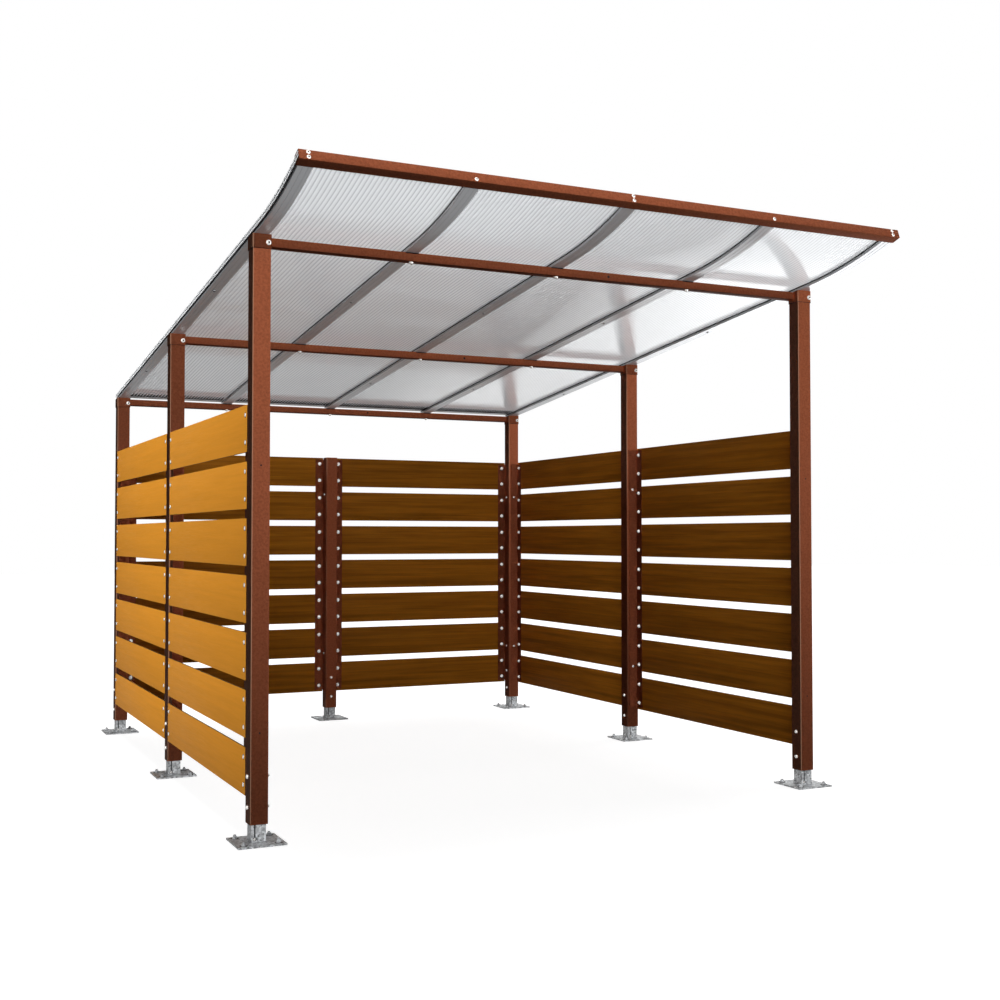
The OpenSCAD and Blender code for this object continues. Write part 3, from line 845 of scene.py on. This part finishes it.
class SHELTER_OT_frame_bolts(bpy.types.Operator):
    """Add the bolts and screws of the caps, angles, feet, beams, rafters and rail, and black discs of painted shade
    for the open holes
    """

    bl_idname = "shelter.frame_bolts"
    bl_label = "Frame bolts"

    def execute(self, context):
        sizes = context.scene.shelter_sizes
        roof = RoofLine(sizes)
        cap, foot, rail = (d / MM for d in (sizes.cap_bolt, sizes.foot_bolt, sizes.rail_bolt))
        cap_bolt = template(dome(cap, 7.5), socket(cap, 7.5))
        screw = template(dome(15, 4.5), socket(15, 4.5))
        rail_bolt = template(dome(rail, 3.4), socket(rail, 3.4))
        beam_bolt = template(dome(22, 9.5), socket(18, 9.5))
        plug = template(
            ([(5.6, 0), (8.4, 0), (8.4, 1.4), (5.6, 1.8)], 14, 2),
            ([(5.6, 0), (5.6, 2.4), (4.0, 3.4), (0, 3.4)], 14, 1),
        )
        foot_head = template(([(0, 0), (foot / 2, 0), (foot / 2, 2.2), (foot * 0.36, 6.6), (0, 8.0)], 16, 0))
        foot_nut = template(
            disc(11.5, 0, 1.8, 16),
            ([(0, 1.8), (9.4, 1.8), (9.4, 8.6), (8.2, 9.6), (0, 9.6)], 6, 0),
            ([(5.0, 9.4), (5.0, 13.0), (4.2, 14.0), (0, 14.0)], 12, 0),
        )
        # the seat's black rim is painted shadow round its dome
        seat = template(disc(8.2, 0, 0.6, 14, 1), dome(12, 5.0))
        # open holes are flat black discs: painted shade of their insides
        hole_shade = template(([(0, 0), (4.0, 0), (4.0, 0.4), (3.4, 0.5), (2.8, 0.2), (0, 0.2)], 14, 1))
        wide_hole_shade = template(([(0, 0), (6.6, 0), (6.6, 0.4), (5.8, 0.6), (5.0, 0.2), (0, 0.2)], 16, 1))
        bm = bmesh.new()

        def fix(fixing, post, facing, heights, out=HALF_POST):
            """Puts a fixing on a post's face at each height."""
            for z in heights:
                stamp(bm, fixing, ground(post) + Vector(facing) * out + Vector((0, 0, z)), facing)

        cap_bolt_right, cap_bolt_down = 27 * MM, 36 * MM
        for row in ROWS:
            low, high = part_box(f"caps_{row}")
            for side in SIDES:
                x = middle(f"post_{row}_{side}").x + cap_bolt_right
                stamp(bm, cap_bolt, Vector((x, low.y, high.z - cap_bolt_down)), (0, -1, 0))

        angle_heights = (0.467, 1.602)
        for post, along, _ in bay_ends():
            fix(screw, post, along, angle_heights, HALF_POST + ANGLE_LEG)
        for side, s in SIDES.items():
            fix(hole_shade, f"post_front_{side}", (0, -1, 0), angle_heights)
            fix(hole_shade, f"post_rear_{side}", (0, 1, 0), angle_heights)
            fix(hole_shade, f"post_rear_{side}", (s, 0, 0), angle_heights)

        for name in POSTS:
            if name == "rear_middle":
                ways, heights = ((0, -1, 0), (0, 1, 0)), (0.161, 0.296)
            else:
                ways, heights = ((-1, 0, 0), (1, 0, 0)), (0.150, 0.280)
            fix(foot_head, f"post_{name}", ways[0], heights)
            fix(foot_nut, f"post_{name}", ways[1], heights)
            slot = ground(f"post_{name}") - Vector((17, 32, 0)) * MM
            # a black strip up the spigot's front: painted shade for the slot there
            block(bm, slot + Vector((-2.4, -0.4, 30)) * MM, slot + Vector((2.4, 0.2, 92)) * MM, material=1)
            stamp(bm, seat, slot + Vector((0, 0, 20 * MM)), (0, -1, 0))

        hole_place = 0.283
        for row in ROWS:
            beam = middle(f"beam_{row}")
            for name in RAFTERS[1:-1]:
                at = Vector((middle(f"rafter_{name}").x, *beam.yz))
                stamp(bm, beam_bolt, at - roof.up * HALF_BEAM, -roof.up)
            stamp(bm, wide_hole_shade, Vector((hole_place, *beam.yz)) + roof.along * HALF_BEAM, roof.along)

        tip = roof.tip()
        ahead = tip.to_3x3() @ Vector((0, -1, 0))
        plug_places = (-0.582, 1.180)
        for index, name in enumerate(RAFTERS):
            x = middle(f"rafter_{name}").x
            for y in plug_places:
                stamp(bm, plug, roof.straight(x, y), -roof.up)
            for height in ((11, 33) if index % 2 == 0 else (11,)):
                stamp(bm, rail_bolt, tip @ Vector((x, -sizes.rail_depth - RAIL_GAP, height * MM)), ahead)
        finish_piece(bm, "frame_bolts", ["stainless_bolts", "black_rubber", "galvanised_steel"])
        return {"FINISHED"}


# ---- stage ----


KEY_PLACE = (4.4, -25.0, 12.0)


def lamp(name, kind, at, target, energy, receivers, stretch=1.0, gleam=False, **settings):
    """A lamp that looks at a target and lights only its receivers; a gleam shows only in what is glossy."""
    data = bpy.data.lights.new(name, kind)
    data.energy = energy
    for key, value in settings.items():
        setattr(data, key, value)
    light = bpy.data.objects.new(name, data)
    light.location = at
    light.scale = (stretch, 1, 1)
    light.visible_glossy, light.visible_diffuse = gleam, not gleam
    light.rotation_euler = (Vector(target) - Vector(at)).to_track_quat("-Z", "Y").to_euler()
    bpy.context.scene.collection.objects.link(light)
    group = bpy.data.collections.new(f"lit_by_{name}")
    for piece in receivers:
        group.objects.link(piece)
    light.light_linking.receiver_collection = group
    return light


def key_spot(name, target, energy, receivers, opening, stretch=1.0):
    """A part of the key light, with its opening in degrees."""
    soft = {"spot_blend": 1.0, "shadow_soft_size": 1.5, "use_shadow": False}
    lamp(name, "SPOT", KEY_PLACE, target, energy, receivers, stretch, spot_size=math.radians(opening), **soft)


def sun(name, at, energy, receivers, spread, **settings):
    """Parallel light from the side of a place, spread over an angle in degrees."""
    lamp(name, "SUN", at, (0, 0, 0), energy, receivers, angle=math.radians(spread), **settings)


def soft_box(name, at, target, energy, receivers, width, depth=None, **settings):
    """A rectangular area lamp, or a round one where it has no depth."""
    shape = {"shape": "RECTANGLE", "size_y": depth} if depth else {"shape": "DISK"}
    return lamp(name, "AREA", at, target, energy, receivers, size=width, **shape, **settings)


def ray_kinds(tree):
    """Two values of a shader: 1 for glossy rays, and 1 for rays from the eye, also through clear sheet."""
    path = add(tree, "LightPath").outputs
    direct = add(tree, "Math", (path["Is Camera Ray"], path["Is Transmission Ray"]), operation="MAXIMUM")
    return path["Is Glossy Ray"], direct


def studio_world():
    """White to the eye, in reflections and through clear sheet, with a dark flag behind on the left."""
    world = bpy.data.worlds.new("studio")
    bpy.context.scene.world = world
    tree = empty_tree(world)
    glossy, direct = ray_kinds(tree)
    way = add(tree, "TexCoord").outputs["Generated"]
    flag = add(tree, "VectorMath", (way, (-0.62, 0.78, 0.0)), operation="DOT_PRODUCT")
    seen = add(tree, "MapRange", (flag, 0.3, 0.8, 1.0, 0.02))
    mirrored = add(tree, "Math", (glossy, seen), operation="MULTIPLY")
    shown = add(tree, "Math", (mirrored, direct), operation="MAXIMUM")
    level = add(tree, "Math", (shown, 0.025), operation="MAXIMUM")
    add(tree, "OutputWorld", (add(tree, "Background", {"Color": (1, 1, 1, 1), "Strength": level}),))


def studio_floor():
    """A pale floor: white to the eye with soft shadows; in reflections it is painted grey on the left and white on the
    right, as painted shade.
    """
    bm = bmesh.new()
    bmesh.ops.create_grid(bm, x_segments=1, y_segments=1, size=40.0)
    mesh = bpy.data.meshes.new("floor")
    bm.to_mesh(mesh)
    bm.free()
    floor = bpy.data.objects.new("floor", mesh)
    bpy.context.scene.collection.objects.link(floor)
    floor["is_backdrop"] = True
    material = bpy.data.materials.new("pale_floor")
    mesh.materials.append(material)
    tree = empty_tree(material)
    glossy, direct = ray_kinds(tree)
    place = add(tree, "TexCoord").outputs["Object"]
    across = add(tree, "SeparateXYZ", (place,))
    # for glossy rays only: painted shade, grey to the left and brighter to the right and far behind, standing in for
    # the shelter's shadow on the floor
    slant = add(tree, "VectorMath", (place, (1.0, -0.33, 0.0)), operation="DOT_PRODUCT")
    left_shade_in_reflections = add(tree, "MapRange", (across, -3.5, -1.2, 0.03, 0.38))
    white = add(tree, "MapRange", (across, 2.6, 3.8, 0.0, 0.6))
    far = add(tree, "MapRange", (slant, 3.0, 6.2, 0.0, 1.6))
    near = add(tree, "Math", (left_shade_in_reflections, white), operation="ADD")
    bright = add(tree, "Math", (near, far), operation="ADD")
    mirrored = add(tree, "Math", (glossy, bright), operation="MULTIPLY")
    glow = add(tree, "Math", (direct, 0.92, mirrored), operation="MULTIPLY_ADD")
    shade = add(tree, "MapRange", (direct, 0.0, 1.0, 0.04, 0.3))
    matt = add(tree, "BsdfDiffuse", {"Color": shade})
    pale = add(tree, "Emission", {"Color": (1, 1, 1, 1), "Strength": glow})
    add(tree, "OutputMaterial", (add(tree, "AddShader", (matt, pale)),))


def studio_lamps():
    """The key light and the fills, each on the pieces that it is for."""

    def named(*starts):
        return [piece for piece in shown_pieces() if piece.name.startswith(starts)]

    boards, sheets, rafters = named("wall_boards"), named("ribbed_sheet"), named("rafter_section")
    for sheet in sheets:
        sheet.visible_diffuse = False
    bolts = named("board_bolt_heads", "board_dome_nuts", "frame_bolts")
    feet, angles, rail = named("foot_", "anchor_bolts"), named("angles_"), named("visor_rail_tube")
    coated = named("post_", "caps_", "cross_beam", "visor_rail_tube")
    dim = named("post_middle_left", "post_rear_left", "post_rear_middle", "cross_beam", "caps_middle", "caps_rear")
    left, right, cap = named("post_front_left"), named("post_front_right"), named("caps_front")
    lit = [piece for piece in coated if piece not in dim + rail + left + right + cap] + bolts
    left_trim = named("edge_profile_left")
    others = [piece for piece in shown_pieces() if piece not in sheets] + [bpy.data.objects["floor"]]

    key_spot("key_rail", (-1.2, -1.4, 2.3), 23500.0, rail, 7.4, 2.6)
    key_spot("key_left", (-1.2, -1.4, 2.3), 35000.0, left, 6.5, 2.6)
    key_spot("key_right", (1.4, -1.4, 2.1), 29000.0, right, 8.0)
    key_spot("key_caps", (0.6, -1.4, 2.4), 23000.0, cap, 12.3)
    key_spot("key", (-1.2, -1.4, 3.4), 32000.0, lit, 12.6, 2.2)
    key_spot("key_dim", (-1.2, -1.4, 3.4), 12800.0, dim, 12.6, 2.2)
    sun("front_fill", (1.5, -8.0, 3.0), 0.12, coated + angles, 10, use_shadow=False, color=(1.0, 0.55, 0.3))
    sun("angle_fill", (1.5, -8.0, 3.0), 0.55, angles, 10, use_shadow=False)
    sun("angle_right", (0.0, -8.0, 2.0), 0.5, named("angles_right_wall"), 10, use_shadow=False)
    soft_box("rail_low", (3.4, -3.4, 0.6), (0.6, -2.1, 2.7), 45.0, rail, 0.8)
    sun("edge_gleam", (-9.0, -4.35, 0.6), 120.0, coated + angles, 8, gleam=True, color=(1.0, 0.6, 0.4))
    left_side = named("wall_boards_left") + left_trim + bolts
    soft_box("left_wall", (-7.0, 0.9, 3.4), (-1.5, 1.1, 1.1), 312.0, left_side, 3.0)
    sun("left_trim", (-8.0, -3.0, 1.0), 2.2, left_trim, 30, use_shadow=False)
    sun("inside_fill", (-4.5, -8.0, 1.8), 1.12, boards, 50, use_shadow=False)
    sun("rear_left_fill", (-4.5, -8.0, 1.8), 0.62, named("wall_boards_rear_left"), 50, use_shadow=False)
    sun("front_metal", (-4.0, -6.0, 1.7), 4.4, feet + bolts, 30)
    soft_box("over_front", (-0.6, -3.5, 4.4), (-0.6, -1.9, 2.7), 345.0, sheets, 4.0, 0.6)
    soft_box("over_right", (1.1, -0.6, 4.6), (1.1, -0.6, 2.5), 84.0, named("ribbed_sheet_right"), 0.8, 4.0)
    sun("under_rafters", (0.0, -8.0, -5.0), 2.4, rafters, 10, use_shadow=False)
    right_card = soft_box("right_card", (7.2, 2.0, 0.02), (7.2, 2.0, 3.0), 300.0, rafters, 5.0, 10.0, gleam=True)
    shined = rafters + left_trim
    left_card = soft_box("left_card", (-4.6, 12.0, 4.4), (-1.5, 0.0, 2.3), 75.0, shined, 6.0, 5.0, gleam=True)
    right_card.visible_camera = left_card.visible_camera = False
    sun("over_sheets", (0.6, -0.5, 8.0), 0.86, sheets, 50)
    sun("overhead", (0.6, 0.7, 8.0), 1.7, others, 25)
    sun("right", (8.0, 1.6, 3.0), 2.2, others, 40)
    sun("back", (1.5, 8.0, 3.2), 2.0, others, 40)


def studio_camera(scene):
    """A camera at head height in front on the left, turned to the right and a little up."""
    view = bpy.data.cameras.new("camera")
    view.lens, view.sensor_width, view.sensor_fit = 46.15, 36.0, "HORIZONTAL"
    view.clip_end = 200.0
    camera = bpy.data.objects.new("camera", view)
    scene.collection.objects.link(camera)
    turn, pitch = math.radians(25.80), math.radians(1.667)
    ahead = Vector((math.sin(turn) * math.cos(pitch), math.cos(turn) * math.cos(pitch), math.sin(pitch)))
    camera.location = (-2.9117, -6.8111, 1.2953)
    camera.rotation_euler = ahead.to_track_quat("-Z", "Y").to_euler()
    scene.camera = camera


class SHELTER_OT_stage(bpy.types.Operator):
    """Set the floor, the studio light and the camera"""

    bl_idname = "shelter.stage"
    bl_label = "Stage"

    def execute(self, context):
        context.scene.view_settings.view_transform = "Standard"
        studio_world()
        studio_floor()
        studio_lamps()
        studio_camera(context.scene)
        return {"FINISHED"}


# ---- add-on ----

STEPS = (
    SHELTER_OT_finishes, SHELTER_OT_posts, SHELTER_OT_feet, SHELTER_OT_beams, SHELTER_OT_rafters,
    SHELTER_OT_edge_trims, SHELTER_OT_roof_sheets, SHELTER_OT_shade_strips, SHELTER_OT_boards, SHELTER_OT_board_bolts,
    SHELTER_OT_frame_bolts, SHELTER_OT_stage,
)


class SHELTER_PT_panel(bpy.types.Panel):
    """Lists the shelter's steps, sizes and colours"""

    bl_label = "Bin Shelter"
    bl_space_type = "VIEW_3D"
    bl_region_type = "UI"
    bl_category = "Shelter"

    def draw(self, context):
        layout = self.layout
        for step in STEPS:
            layout.operator(step.bl_idname)
        for group in (context.scene.shelter_sizes, context.scene.shelter_colours):
            box = layout.box()
            for key in group.__annotations__:
                box.prop(group, key)


CLASSES = (ShelterSizes, ShelterColours, *STEPS, SHELTER_PT_panel)


def register():
    for cls in CLASSES:
        bpy.utils.register_class(cls)
    bpy.types.Scene.shelter_sizes = bpy.props.PointerProperty(type=ShelterSizes)
    bpy.types.Scene.shelter_colours = bpy.props.PointerProperty(type=ShelterColours)


def unregister():
    del bpy.types.Scene.shelter_colours
    del bpy.types.Scene.shelter_sizes
    for cls in reversed(CLASSES):
        bpy.utils.unregister_class(cls)


def main():
    register()
    for step in STEPS:
        group, name = step.bl_idname.split(".")
        getattr(getattr(bpy.ops, group), name)()


if __name__ == "__main__":
    main()
